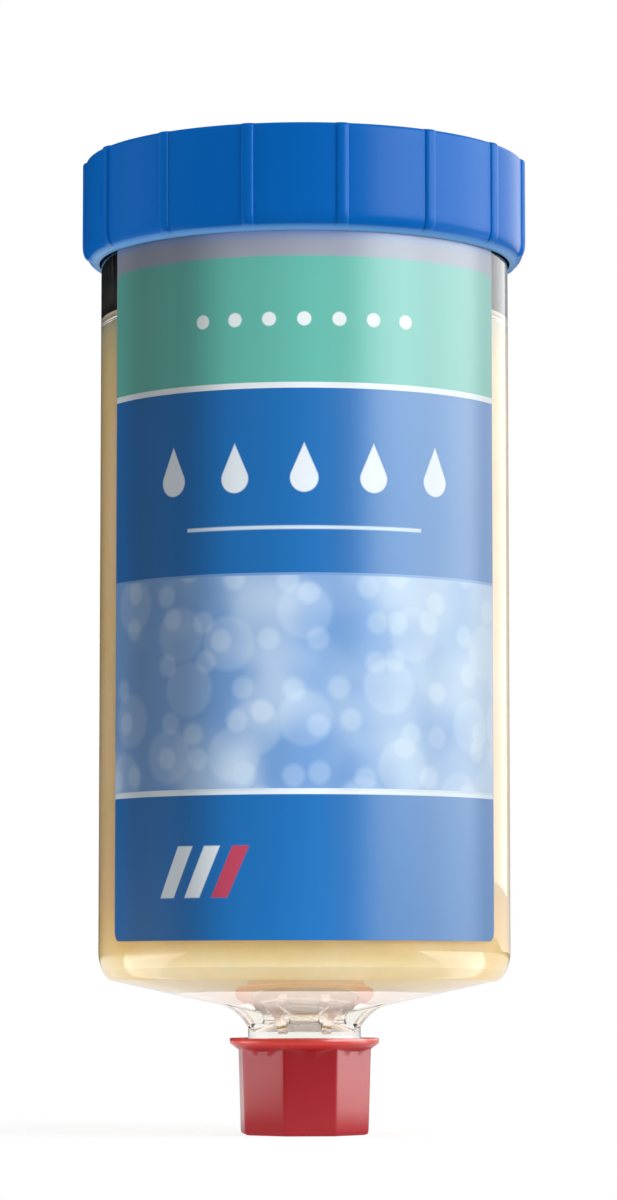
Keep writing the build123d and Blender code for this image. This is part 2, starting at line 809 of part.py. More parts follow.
# ------------------------------------------------------------------ outlet plug
# Octagonal cap with draft, a flared lip round its mouth and a plain bore over the spigot
plug_turn = front + plug_flat_turn + 180 / plug_side_count
plug_body_top_z = plug_height - plug_lip_edge - plug_lip_taper
plug_bore_top_radius = thread_radius + plug_fit
plug_bore_base_radius = spigot_tip_radius + plug_fit
half_side = radians(180 / plug_side_count)
plug_flat_radius_top = plug_bore_top_radius + plug_wall
plug_flat_radius_base = plug_bore_base_radius + plug_wall
plug_lip_radius = plug_flat_radius_top / cos(half_side) + plug_lip_proud
with BuildPart() as outlet_plug:
    with BuildSketch(Plane.XY):
        RegularPolygon(plug_flat_radius_base, plug_side_count, major_radius=False, rotation=plug_turn)
    with BuildSketch(Plane.XY.offset(plug_height - plug_lip_edge)):
        RegularPolygon(plug_flat_radius_top, plug_side_count, major_radius=False, rotation=plug_turn)
    loft()
    chamfer(outlet_plug.faces().sort_by(Axis.Z)[0].edges(), length=plug_edge_break)
    with BuildSketch(Plane.XZ):
        with BuildLine():
            Polyline(
                (0, plug_body_top_z),
                (plug_flat_radius_top, plug_body_top_z),
                (plug_lip_radius, plug_height - plug_lip_edge),
                (plug_lip_radius, plug_height),
                (0, plug_height),
                close=True,
            )
        make_face()
    revolve(axis=Axis.Z)
    with BuildSketch(Plane.XZ):
        with BuildLine():
            Polyline(
                (0, plug_floor),
                (plug_bore_base_radius, plug_floor),
                (plug_bore_base_radius, spigot_tip_z),
                (plug_bore_top_radius, plug_height),
                (0, plug_height),
                close=True,
            )
        make_face()
    revolve(axis=Axis.Z, mode=Mode.SUBTRACT)
outlet_plug.part.label = "outlet_plug"

# ------------------------------------------------------------------ files
export_step(container.part, "parts/container.step")
export_step(grease_charge.part, "parts/grease_charge.step")
export_step(piston.part, "parts/piston.step")
export_step(piston_seal_lower.part, "parts/piston_seal_lower.step")
export_step(piston_seal_upper.part, "parts/piston_seal_upper.step")
export_step(head_housing.part, "parts/head_housing.step")
export_step(head_o_ring.part, "parts/head_o_ring.step")
export_step(cover_o_ring.part, "parts/cover_o_ring.step")
export_step(cover_plate.part, "parts/cover_plate.step")
export_step(dial_o_ring.part, "parts/dial_o_ring.step")
export_step(time_dial.part, "parts/time_dial.step")
export_step(dial_wiper.part, "parts/dial_wiper.step")
export_step(circuit_board.part, "parts/circuit_board.step")
export_step(setting_resistors.part, "parts/setting_resistors.step")
export_step(cell_holder.part, "parts/cell_holder.step")
export_step(gas_cell_seal.part, "parts/gas_cell_seal.step")
export_step(battery_link.part, "parts/battery_link.step")
export_step(grip_ring.part, "parts/grip_ring.step")
export_step(label.part, "parts/label.step")
export_step(outlet_plug.part, "parts/outlet_plug.step")
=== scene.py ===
from functools import partial
from math import cos, degrees, pi, radians, sin, sqrt, tan

import bmesh
import bpy
from mathutils import Matrix, Vector


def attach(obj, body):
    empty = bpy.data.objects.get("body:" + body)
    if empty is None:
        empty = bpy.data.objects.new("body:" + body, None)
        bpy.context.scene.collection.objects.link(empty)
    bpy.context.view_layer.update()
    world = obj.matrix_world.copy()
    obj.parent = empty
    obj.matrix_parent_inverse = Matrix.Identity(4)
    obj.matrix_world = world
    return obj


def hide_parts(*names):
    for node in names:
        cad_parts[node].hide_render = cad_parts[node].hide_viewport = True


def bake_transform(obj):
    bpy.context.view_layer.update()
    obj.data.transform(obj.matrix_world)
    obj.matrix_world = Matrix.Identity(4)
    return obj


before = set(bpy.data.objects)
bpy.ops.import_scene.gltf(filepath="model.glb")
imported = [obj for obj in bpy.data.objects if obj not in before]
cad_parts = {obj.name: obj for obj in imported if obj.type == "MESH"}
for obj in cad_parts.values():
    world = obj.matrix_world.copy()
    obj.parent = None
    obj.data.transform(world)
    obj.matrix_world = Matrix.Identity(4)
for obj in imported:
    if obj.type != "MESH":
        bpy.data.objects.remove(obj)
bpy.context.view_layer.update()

MM = 0.001

# ---------------------------------------------------------------- studio
# A white room over a pale card floor. Three softboxes on the right are seen in glosses alone; a
# key lamp high in front on the right and a weak fill on the left light the matt faces.


def linear(hex_colour):
    """The linear colour that a shader socket takes, from the sRGB hex of a finish."""
    parts = [int(hex_colour[i:i + 2], 16) / 255 for i in (1, 3, 5)]
    return [c / 12.92 if c <= 0.04045 else ((c + 0.055) / 1.055) ** 2.4 for c in parts] + [1.0]


def feed(tree, node, inputs):
    """Gives each input of a node its plain value, or links the output that feeds it."""
    for key, value in inputs.items():
        if isinstance(value, bpy.types.NodeSocket):
            tree.links.new(value, node.inputs[key])
        else:
            node.inputs[key].default_value = value


def add(tree, kind, inputs=None, **settings):
    """One node with its settings and inputs."""
    new = tree.nodes.new(kind)
    for name, value in settings.items():
        setattr(new, name, value)
    feed(tree, new, inputs or {})
    return new


def maths(tree, operation, *feeds, clamp=False):
    """The result of one sum of numbers or outputs."""
    inputs = dict(enumerate(feeds))
    return add(tree, "ShaderNodeMath", inputs, operation=operation, use_clamp=clamp).outputs[0]


def ramp(tree, value, start, end, low=0.0, high=1.0, kind="LINEAR"):
    """Goes from low to high while a value goes from start to end."""
    inputs = {"Value": value, "From Min": start, "From Max": end, "To Min": low, "To Max": high}
    return add(tree, "ShaderNodeMapRange", inputs, interpolation_type=kind).outputs[0]


eased = partial(ramp, kind="SMOOTHSTEP")


def between(tree, share, first, second):
    """The first number where the share is 0, the second where it is 1."""
    return add(tree, "ShaderNodeMix", {0: share, 2: first, 3: second}, data_type="FLOAT").outputs[0]


def own_place(tree):
    """The object's own coordinates, whole and split into X, Y and Z."""
    place = add(tree, "ShaderNodeTexCoord").outputs["Object"]
    return place, add(tree, "ShaderNodeSeparateXYZ", {0: place}).outputs


def length(tree, vector):
    """How long a vector is."""
    return add(tree, "ShaderNodeVectorMath", {0: vector}, operation="LENGTH").outputs["Value"]


def seen_directly(tree):
    """1 for rays from the eye or through glass, which see the white of the room, and the ray kinds."""
    path = add(tree, "ShaderNodeLightPath").outputs
    return maths(tree, "MAXIMUM", path["Is Camera Ray"], path["Is Transmission Ray"]), path


def new_finish(name):
    """A material with its node tree and its shader."""
    finish = bpy.data.materials.new(name)
    finish.use_nodes = True
    return finish, finish.node_tree, finish.node_tree.nodes["Principled BSDF"]


room = bpy.data.worlds.new("white_room")
bpy.context.scene.world = room
room.use_nodes = True
tree = room.node_tree
tree.nodes.clear()
eye, path = seen_directly(tree)
# glosses find the room bright on the right alone; its diffuse light is even
where = add(tree, "ShaderNodeTexCoord")
split = add(tree, "ShaderNodeSeparateXYZ", {0: where.outputs["Generated"]})
level = between(tree, path["Is Glossy Ray"], 0.85, eased(tree, split.outputs["X"], -0.1, 0.6, 0.01, 1.2))
glow = add(tree, "ShaderNodeBackground", {"Color": linear("#F4F6FA"), "Strength": level})
white = add(tree, "ShaderNodeBackground", {"Color": (1, 1, 1, 1), "Strength": 1.0})
choose = add(tree, "ShaderNodeMixShader", {0: eye, 1: glow.outputs[0], 2: white.outputs[0]})
add(tree, "ShaderNodeOutputWorld", {0: choose.outputs[0]})

floor_mesh = bpy.data.meshes.new("floor")
REACH = 4.0
floor_mesh.from_pydata(
    [(-REACH, -REACH, 0), (REACH, -REACH, 0), (REACH, REACH, 0), (-REACH, REACH, 0)], [], [(0, 1, 2, 3)])
floor = bpy.data.objects.new("floor", floor_mesh)
bpy.context.scene.collection.objects.link(floor)
# pale card: it takes the object's shadow faintly near the foot and is plain white further off,
# and it throws light up under the object
card, tree, _ = new_finish("white_card_floor")
tree.nodes.clear()
eye, path = seen_directly(tree)
place, spot = own_place(tree)
away = length(tree, place)
sideways, depth = maths(tree, "ABSOLUTE", spot["X"]), maths(tree, "ABSOLUTE", spot["Y"])
# glosses find the card bright behind the object and brightest right beside it, and dark in front,
# far away and well out on the left
wings = eased(tree, maths(tree, "MULTIPLY_ADD", sideways, 0.8, spot["Y"]), -0.05, 0.1, 0.05, 1.0)
flank = eased(tree, maths(tree, "MULTIPLY_ADD", depth, -2.0, sideways), 0.01, 0.03, 0.8, 3.8)
fade = eased(tree, away, 0.3, 0.9, 1.0, 0.05)
beyond = eased(tree, spot["X"], -0.1, -0.3, 1.0, 0.2)
gloss = wings
for part in (fade, flank, beyond):
    gloss = maths(tree, "MULTIPLY", gloss, part)
# matt faces find it bright round the foot, and rays through the clear plastic brighter still
pool = eased(tree, away, 0.04, 0.14, 1.7, 0.7)
below = eased(tree, away, 0.02, 0.06, 3.8, 1.0)
strength = between(tree, eye, between(tree, path["Is Glossy Ray"], pool, gloss),
                   between(tree, path["Is Camera Ray"], below, 1.0))
paper = add(tree, "ShaderNodeBsdfDiffuse", {"Color": (0.9, 0.9, 0.9, 1)})
lit = add(tree, "ShaderNodeEmission", {"Color": (1, 1, 1, 1), "Strength": strength})
share = eased(tree, away, 0.02, 0.1, 0.8, 1.0)
blend = add(tree, "ShaderNodeMixShader", {0: share, 1: paper.outputs[0], 2: lit.outputs[0]})
add(tree, "ShaderNodeOutputMaterial", {0: blend.outputs[0]})
floor_mesh.materials.append(card)


def soft_lamp(name, place, width, height, watts, gloss=True, diffuse=True):
    """A rectangular softbox aimed at the object, seen in its gloss, on its matt faces or in both."""
    data = bpy.data.lights.new(name, "AREA")
    data.shape = "RECTANGLE"
    data.size, data.size_y, data.energy = width, height, watts
    lamp = bpy.data.objects.new(name, data)
    lamp.location = place
    lamp.rotation_euler = (Vector((0, 0, 0.06)) - Vector(place)).to_track_quat("-Z", "Y").to_euler()
    lamp.visible_camera = False
    lamp.visible_glossy = gloss
    lamp.visible_diffuse = diffuse
    lamp.visible_transmission = False
    bpy.context.scene.collection.objects.link(lamp)


soft_lamp("softbox_right", (0.74, -0.08, 0.26), 0.74, 0.46, 8.6, diffuse=False)
soft_lamp("softbox_right_edge", (0.6, -0.56, 0.26), 0.34, 0.46, 4.2, diffuse=False)
soft_lamp("softbox_right_behind", (0.52, 0.5, 0.28), 0.62, 0.5, 1.3, diffuse=False)
soft_lamp("fill_left", (-0.75, 0.12, 0.2), 0.5, 0.5, 2.4, gloss=False)
soft_lamp("key_front_right", (0.62, -0.40, 0.5), 0.5, 0.5, 5.6, gloss=False)

# the camera stands low in front, half a metre away, and looks a little up through a long lens
EYE, LOOK_UP, LENS, SENSOR = (0.00048, -0.4931, 0.0172), 5.26, 125.9, 36.0
eye_data = bpy.data.cameras.new("camera")
eye_data.sensor_fit = "VERTICAL"
eye_data.sensor_height = eye_data.sensor_width = SENSOR
eye_data.lens = LENS
eye_data.clip_start = 0.01
camera = bpy.data.objects.new("camera", eye_data)
camera.location = EYE
camera.rotation_euler = (radians(90 + LOOK_UP), 0, 0)
bpy.context.scene.collection.objects.link(camera)
bpy.context.scene.camera = camera
bpy.context.scene.view_settings.view_transform = "Standard"

# ---------------------------------------------------------------- container
# One clear moulding: a straight cylinder on a shallow cone, with eight gussets round a cored neck
# and a tapered pipe thread on the spigot. Its wall is 1.3 mm and polished by the mould.
BORE, WALL = 22.8, 1.3
OUTER = BORE + WALL
SLOPE, FLOOR = tan(radians(12.56)), 16.92
NECK, NECK_TOP, LEDGE, TUBE = 6.58, 14.33, 12.85, 5.2
FLARE_OUT, FLARE_FOOT = 10.8, 11.95
TIP, SEAT, MOUTH, PASSAGE = 1.7, 11.2, 4.4, 2.0
PITCH, THREAD_DEPTH, THREAD_TAPER, RUN_OUT = 1.337, 0.62, 1 / 32, 1.2
# the wall's round turn into the cone, outside and inside: radius and the height of its centre
ROUND_OUT, ROUND_OUT_Z = 4.985, 21.21
ROUND_IN, ROUND_IN_Z = 3.207, 21.62
BEAD, BEAD_RISE, RIM = 106.5, 0.35, 109.4
FILM, FILM_LOW, FILM_HIGH = 22.3, 94.95, 104.7


def underside(r):
    """Height of the cone's outside at radius r."""
    return NECK_TOP + (r - NECK) * SLOPE


def on_cone(*radii):
    """Points of the cone's outside."""
    return [(r, underside(r)) for r in radii]


def bend(start, turn, end, steps):
    """Points of a curve from start to end that stays tangent to both lines through turn."""
    curve = []
    for k in range(steps + 1):
        t = k / steps
        curve.append(tuple((1 - t) ** 2 * a + 2 * t * (1 - t) * b + t * t * c
                           for a, b, c in zip(start, turn, end)))
    return curve


def arc(centre, radius, start, end, steps):
    """Points on a circle between two angles in degrees."""
    turns = [radians(start + (end - start) * k / steps) for k in range(steps + 1)]
    return [(centre[0] + radius * cos(a), centre[1] + radius * sin(a)) for a in turns]


def skin(name, rows, closed=False):
    """A mesh from rows of points that run round the axis; a row on the axis closes to one point.
    closed joins the last row to the first."""
    body = bmesh.new()
    rings = [[body.verts.new([c * MM for c in point]) for point in row] for row in rows]
    pairs = list(zip(rings, rings[1:])) + ([(rings[-1], rings[0])] if closed else [])
    for lower, upper in pairs:
        count = len(lower)
        for k in range(count):
            body.faces.new((lower[k], lower[(k + 1) % count], upper[(k + 1) % count], upper[k]))
    bmesh.ops.remove_doubles(body, verts=body.verts, dist=1e-7)
    bmesh.ops.dissolve_degenerate(body, edges=body.edges, dist=1e-8)
    bmesh.ops.recalc_face_normals(body, faces=body.faces)
    mesh = bpy.data.meshes.new(name)
    body.to_mesh(mesh)
    body.free()
    return mesh


def piece(name, mesh, body, material, slot, *nodes, crease=30):
    """A finished piece: smooth but for creases sharper than this, riding on its body, if it has one,
    in the nodes' place."""
    mesh.materials.clear()
    mesh.materials.append(material)
    mesh.polygons.foreach_set("use_smooth", [True] * len(mesh.polygons))
    mesh.set_sharp_from_angle(angle=radians(crease))
    made = bpy.data.objects.new(name, mesh)
    bpy.context.scene.collection.objects.link(made)
    if body:
        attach(made, body)
    if nodes:
        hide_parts(*nodes)
    return made


def thread_height(z, angle):
    """How deep the groove of the right-hand pipe thread is at this place, running out at both ends."""
    turn = (z / PITCH - angle / (2 * pi)) % 1.0
    groove = 1 - abs(2 * turn - 1)
    run = min(1.0, max(0.0, (z - TIP - 0.4) / RUN_OUT), max(0.0, (SEAT - 0.9 - z) / RUN_OUT))
    return THREAD_DEPTH * min(1.0, groove * 1.25) * run


def container_column(angle, gusset):
    """Outline of the container at one angle, closed from the spigot's mouth round to its bore."""
    points = [(MOUTH, TIP + 0.3), (MOUTH + 0.1, TIP + 0.09), (MOUTH + 0.35, TIP), (5.5, TIP),
              (5.8, TIP + 0.05)]
    # the tapered thread, then the neck above it
    rows, first = 72, TIP + 0.5
    for k in range(rows + 1):
        z = first + (SEAT - first) * k / rows
        points.append((NECK + (z - SEAT) * THREAD_TAPER - thread_height(z, angle), z))
    points.append((NECK, 11.6))
    if gusset:
        # a sloping foot that flares into the cone
        points += bend((NECK, FLARE_FOOT), *on_cone(7.894, FLARE_OUT), 15)
    else:
        # cored between the gussets: a ledge, and the thin tube up to the cone
        points.append((NECK, 12.4))
        points += bend((NECK, LEDGE), ((NECK + TUBE) / 2, LEDGE), (TUBE + 0.35, LEDGE), 2)
        points += bend((TUBE + 0.35, LEDGE), (TUBE, LEDGE), (TUBE, LEDGE + 0.35), 3)[1:]
        points += bend((TUBE, underside(TUBE) - 0.5), *on_cone(TUBE, TUBE + 0.5), 5)
        points += on_cone(TUBE + 1.4, 7.8, FLARE_OUT)
    # the cone, its round turn into the wall, the snap bead and the rim
    points += on_cone(12.0, 18.0)
    sweep = arc((OUTER - ROUND_OUT, ROUND_OUT_Z), ROUND_OUT, -40.6, 0, 8)
    points += bend(*on_cone(22.5, 22.9), sweep[1], 4) + sweep[2:]
    bead = OUTER + BEAD_RISE
    points += [(OUTER, 40), (OUTER, 70), (OUTER, BEAD), (bead, BEAD + 0.35), (bead, BEAD + 1.2),
               (OUTER, BEAD + 1.55), (OUTER, RIM - 0.15), (OUTER - 0.15, RIM), (BORE + 0.3, RIM),
               (BORE, RIM - 0.3)]
    # clear grease fills the gap round the piston's skirt at rest and joins wall and skirt to the eye
    points += [(BORE, FILM_HIGH + 0.4), (FILM, FILM_HIGH), (FILM, FILM_LOW), (BORE, FILM_LOW - 0.15),
               (BORE, 70), (BORE, 40)]
    # the dished floor inside and the passage down through the spigot
    points += arc((BORE - ROUND_IN, ROUND_IN_Z), ROUND_IN, 0, -38.6, 8)
    points += [(16.0, 18.256), (10.0, FLOOR), (6.0, FLOOR), (2.3, FLOOR), (2.09, 16.83), (PASSAGE, 16.6)]
    points += [(PASSAGE, 14.9), (PASSAGE, 13.15), (MOUTH, 11.95), (MOUTH, 7.0)]
    return points


# columns bunch at the gussets' flanks, where a ribbed and a cored outline meet at one angle
GUSSETS, GUSSET_HALF = 8, 5.0
columns = []
for g in range(GUSSETS):
    middle = -90 + 22.5 + 45 * g
    columns += [(middle - GUSSET_HALF + 2 * GUSSET_HALF * k / 8, True) for k in range(9)]
    columns += [(middle + GUSSET_HALF + 35 * k / 24, False) for k in range(25)]
outlines = [(radians(a), container_column(radians(a), ribbed)) for a, ribbed in columns]
container_rows = [[(line[i][0] * cos(a), line[i][0] * sin(a), line[i][1]) for a, line in outlines]
                  for i in range(len(outlines[0][1]))]


def noise(tree, place, scale, detail, **more):
    """Cloudy values between 0 and 1; the scale is in clouds to the metre."""
    inputs = {"Vector": place, "Scale": scale, "Detail": detail, **more}
    return add(tree, "ShaderNodeTexNoise", inputs).outputs[0]


def bumped(tree, height, strength, distance):
    """The normals of a surface that a pattern raises a little."""
    inputs = {"Height": height, "Strength": strength, "Distance": distance}
    return add(tree, "ShaderNodeBump", inputs).outputs[0]


# clear polyamide: nearly colourless, mirror-polished, with a faint waviness from the mould
clear, tree, shader = new_finish("clear_polyamide")
place, spot = own_place(tree)
feed(tree, shader, {
    "Base Color": linear("#FBFAF6"), "Transmission Weight": 1.0, "Roughness": 0.03, "IOR": 1.5,
    "Normal": bumped(tree, noise(tree, place, 60.0, 2.0), 0.05, 0.0004)})
# the middle of the floor inside is matt from the tool and scatters light
MATT_RADIUS, MATT_LOW, MATT_SHARE = 15.1, 16.6, 0.85
out = length(tree, add(tree, "ShaderNodeCombineXYZ", {"X": spot["X"], "Y": spot["Y"]}).outputs[0])
matt = maths(tree, "MULTIPLY", maths(tree, "LESS_THAN", out, MATT_RADIUS * MM),
             maths(tree, "GREATER_THAN", spot["Z"], MATT_LOW * MM))
frost = add(tree, "ShaderNodeBsdfDiffuse", {"Color": linear("#FBF0EA")})
surface = add(tree, "ShaderNodeMixShader", {
    0: maths(tree, "MULTIPLY", matt, MATT_SHARE), 1: shader.outputs[0], 2: frost.outputs[0]})
# rays from the lamps pass, so that what stands inside is lit as through clear plastic
passing = add(tree, "ShaderNodeBsdfTransparent", {"Color": linear("#F2F0EA")})
path = add(tree, "ShaderNodeLightPath").outputs
through = add(tree, "ShaderNodeMixShader", {
    0: path["Is Shadow Ray"], 1: surface.outputs[0], 2: passing.outputs[0]})
feed(tree, tree.nodes["Material Output"], {"Surface": through.outputs[0]})

piece("container_shell", skin("container_shell", container_rows, closed=True), "cartridge", clear,
      "clear_polyamide", "container", crease=35)

# ---------------------------------------------------------------- grease
# A soft amber charge that fills the container from its dished floor to the piston and wets the
# wall; a film of air stays under its middle.
GREASE_TOP, GREASE_CROWN, WETTING = 94.75, 92.32, 0.05
wetted = BORE + WETTING
grease_outline = [(0, 16.97), (10.0, 16.97), (15.2, 18.13), (15.4, 18.08)]
grease_outline += arc((BORE - ROUND_IN, ROUND_IN_Z), ROUND_IN + WETTING, -38.6, 0, 8)
grease_outline += [(wetted - 0.02, GREASE_TOP - 0.1), (wetted - 0.2, GREASE_TOP), (20.9, GREASE_TOP),
                   (10.0, GREASE_CROWN), (0, GREASE_CROWN)]


def turned(outline, columns=256):
    """Rows of an outline of (radius, height) points spun round the axis."""
    turns = [2 * pi * k / columns for k in range(columns)]
    return [[(r * cos(a), r * sin(a), z) for a in turns] for r, z in outline]


def toned(tree, value, low, high, tones, kind="LINEAR"):
    """The colours of a ramp whose (value, linear colour) tones lie between low and high."""
    node = add(tree, "ShaderNodeValToRGB", {0: value})
    node.color_ramp.interpolation = kind
    stops = node.color_ramp.elements
    while len(stops) < len(tones):
        stops.new(0.5)
    for stop, (at, colour) in zip(stops, tones):
        stop.position = (at - low) / (high - low)
        stop.color = colour
    return node.outputs[0]


# grease: translucent amber with cloudy streaks a few millimetres long from filling
amber, tree, shader = new_finish("amber_grease")
place, _ = own_place(tree)
stretched = add(tree, "ShaderNodeMapping", {0: place, "Scale": (1.0, 1.0, 0.45)}).outputs[0]
streaks = noise(tree, stretched, 140.0, 4.0, Roughness=0.55)
feed(tree, shader, {
    "Base Color": toned(tree, streaks, 0.0, 1.0, [(0.3, linear("#CEB380")), (0.72, linear("#D8C09A"))]),
    "Roughness": 0.35, "Subsurface Weight": 1.0, "Subsurface Radius": (1.0, 0.7, 0.4),
    "Subsurface Scale": 0.03})
grease = piece("grease", skin("grease", turned(grease_outline)), None, amber, "grease", "grease_charge")
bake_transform(grease)

# ---------------------------------------------------------------- piston and its seals
# A black ribbed cup that gas pushes down on the grease. A pale wiper ring is moulded on its lower
# edge and a rubber ring sits in the groove near its top.


def smooth_copy(node, name, body, material, slot, crease=28):
    """The solid's own mesh with its loose triangles joined, so that round faces shade as round."""
    source = bmesh.new()
    source.from_mesh(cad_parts[node].data)
    bmesh.ops.remove_doubles(source, verts=source.verts, dist=2e-6)
    mesh = bpy.data.meshes.new(name)
    source.to_mesh(mesh)
    source.free()
    return piece(name, mesh, body, material, slot, node, crease=crease)


def coloured(tree, share, first, second):
    """The first colour where the share is 0, the second where it is 1."""
    return add(tree, "ShaderNodeMix", {0: share, 6: first, 7: second}, data_type="RGBA").outputs[2]


def moulded(name, colour, darker, grain, depth, roughness, sheen=0.5):
    """Injection-moulded plastic: slow drift of colour, fine grain of the tool's surface, satin gloss."""
    finish, tree, shader = new_finish(name)
    place, _ = own_place(tree)
    drift = noise(tree, place, 45.0, 3.0)
    fine = noise(tree, place, 1 / (grain * MM), 2.0)
    feed(tree, shader, {
        "Base Color": coloured(tree, drift, linear(darker), linear(colour)),
        "Roughness": ramp(tree, drift, 0.0, 1.0, roughness - 0.05, roughness + 0.07),
        "Normal": bumped(tree, fine, 0.35, depth * MM),
        "Specular IOR Level": sheen})
    return finish


# glass-filled black plastic, nitrile rubber and pale moulded seal
black = moulded("black_moulding", "#202226", "#17181B", 0.35, 0.02, 0.38)
rubber = moulded("nitrile_rubber", "#1B1B1B", "#131313", 0.25, 0.03, 0.6, 0.35)
pale_rubber = moulded("pale_seal_rubber", "#C9BFAE", "#BDB29F", 0.3, 0.02, 0.5)
smooth_copy("piston", "follower_piston", "piston", black, "black_abs")
smooth_copy("piston_seal_lower", "piston_wiper_ring", "piston", pale_rubber, "pale_seal")
smooth_copy("piston_seal_upper", "piston_groove_ring", "piston", rubber, "nitrile_rubber")

# ---------------------------------------------------------------- drive head inside the ring
# A black housing closes the container and holds the cells, the board and a flat black cover. The
# sealing rings are nitrile; everything under the cover is sealed in.
smooth_copy("head_housing", "drive_housing", "cartridge", black, "black_abs")
smooth_copy("head_o_ring", "housing_sealing_ring", "cartridge", rubber, "nitrile_rubber")
smooth_copy("cover_o_ring", "cover_sealing_ring", "cartridge", rubber, "nitrile_rubber")
smooth_copy("cover_plate", "head_cover", "cartridge", black, "black_abs")
smooth_copy("dial_o_ring", "shaft_sealing_ring", "cartridge", rubber, "nitrile_rubber")

# ---------------------------------------------------------------- scale on the cover
# White plain numbers from 0 to 12, printed clockwise at the raised ticks round the dial.
FIRST_TICK, TICK_STEP = 240, 25
NUMBER_SIZE, NUMBER_RADIUS, NUMBER_Z = 2.9, 15.2, 111.02
ink = moulded("white_scale_ink", "#E9EAE6", "#DDDED9", 0.3, 0.004, 0.45)
scale_mesh = bmesh.new()
for number in range(13):
    text = bpy.data.curves.new(f"number_{number}", "FONT")
    text.body = str(number)
    text.size = NUMBER_SIZE * MM
    text.align_x, text.align_y = "CENTER", "CENTER"
    writing = bpy.data.objects.new(text.name, text)
    angle = radians(FIRST_TICK - TICK_STEP * number)
    flat = bpy.data.meshes.new_from_object(writing)
    spot = Vector((NUMBER_RADIUS * cos(angle), NUMBER_RADIUS * sin(angle), NUMBER_Z)) * MM
    flat.transform(Matrix.Translation(spot) @ Matrix.Rotation(angle - pi / 2, 4, "Z"))
    scale_mesh.from_mesh(flat)
    bpy.data.objects.remove(writing)
numbers = bpy.data.meshes.new("cover_numbers")
scale_mesh.to_mesh(numbers)
scale_mesh.free()
piece("cover_numbers", numbers, "cartridge", ink, "holder_plastic")

# ---------------------------------------------------------------- time dial
# The black dial is turned by a finger bar; the groove on the bar is filled with white paint and
# points at the running time.
GROOVE_HALF, GROOVE_FLOOR, BAR_TOP = 0.69 * MM, 113.8 * MM, 114.0 * MM
dial_finish = moulded("dial_black_and_white", "#24262B", "#1A1B1F", 0.35, 0.02, 0.36)
tree = dial_finish.node_tree
shader = tree.nodes["Principled BSDF"]
_, spot = own_place(tree)
pointer = radians(FIRST_TICK)
along = maths(tree, "ADD", maths(tree, "MULTIPLY", spot["X"], cos(pointer)),
              maths(tree, "MULTIPLY", spot["Y"], sin(pointer)))
beside = maths(tree, "ADD", maths(tree, "MULTIPLY", spot["X"], -sin(pointer)),
               maths(tree, "MULTIPLY", spot["Y"], cos(pointer)))
in_groove = maths(tree, "LESS_THAN", maths(tree, "ABSOLUTE", beside), GROOVE_HALF)
for test, value, limit in (("GREATER_THAN", along, 0.0), ("GREATER_THAN", spot["Z"], GROOVE_FLOOR),
                           ("LESS_THAN", spot["Z"], BAR_TOP)):
    in_groove = maths(tree, "MULTIPLY", in_groove, maths(tree, test, value, limit))
plain = shader.inputs["Base Color"].links[0].from_socket
feed(tree, shader, {"Base Color": coloured(tree, in_groove, plain, linear("#E6E7E2"))})
smooth_copy("time_dial", "time_dial_knob", "dial", dial_finish, "black_abs")

# ---------------------------------------------------------------- grip ring
# The blue ABS collar snaps over the container and holds the cover down. Fifteen slim ribs run up
# its side for grip and run out in its rounded lower edge.
RING, RING_BORE, RING_BOTTOM, RING_TOP, RING_OPENING = 26.0, 24.35, 102.4, 114.5, 19.5
SNAP, COVER_SEAT, COVER_TOP = 24.55, 111.0, 112.6
ring_outline = bend((RING_BORE + 0.2, RING_BOTTOM), (RING, RING_BOTTOM + 0.15), (RING, RING_BOTTOM + 2.2), 10)
ring_outline += [(RING, z) for z in (105.0, 107.0, 109.0, 111.0, 113.0)]
ring_outline += bend((RING, RING_TOP - 0.45), (RING, RING_TOP), (RING - 0.45, RING_TOP), 5)
ring_outline += bend((RING_OPENING + 0.4, RING_TOP), (RING_OPENING, RING_TOP),
                     (RING_OPENING, RING_TOP - 0.4), 4)
ring_outline += [(RING_OPENING, COVER_SEAT), (21.5, COVER_SEAT), (21.5, COVER_TOP), (RING_BORE, COVER_TOP)]
ring_outline += [(RING_BORE, 108.15), (SNAP, 107.8), (SNAP, 106.75), (RING_BORE, 106.4),
                 (RING_BORE, RING_BOTTOM)]


def paler_edge(material, colour, start, end):
    """Paints light on a moulding: its colour goes over to a paler one from one height to another, in
    millimetres.
    """
    tree = material.node_tree
    shader = tree.nodes["Principled BSDF"]
    _, spot = own_place(tree)
    share = ramp(tree, spot["Z"], start * MM, end * MM)
    plain = shader.inputs["Base Color"].links[0].from_socket
    feed(tree, shader, {"Base Color": coloured(tree, share, plain, linear(colour))})


# blue ABS: even satin blue with the fine grain of a spark-eroded mould; its thin lower lip is painted paler,
# a painted highlight for the light from the white floor under it
ring_blue = moulded("blue_abs", "#005CAC", "#0056A4", 0.3, 0.012, 0.24, 0.07)
paler_edge(ring_blue, "#6AA4DE", RING_BOTTOM + 0.6, RING_BOTTOM + 0.1)


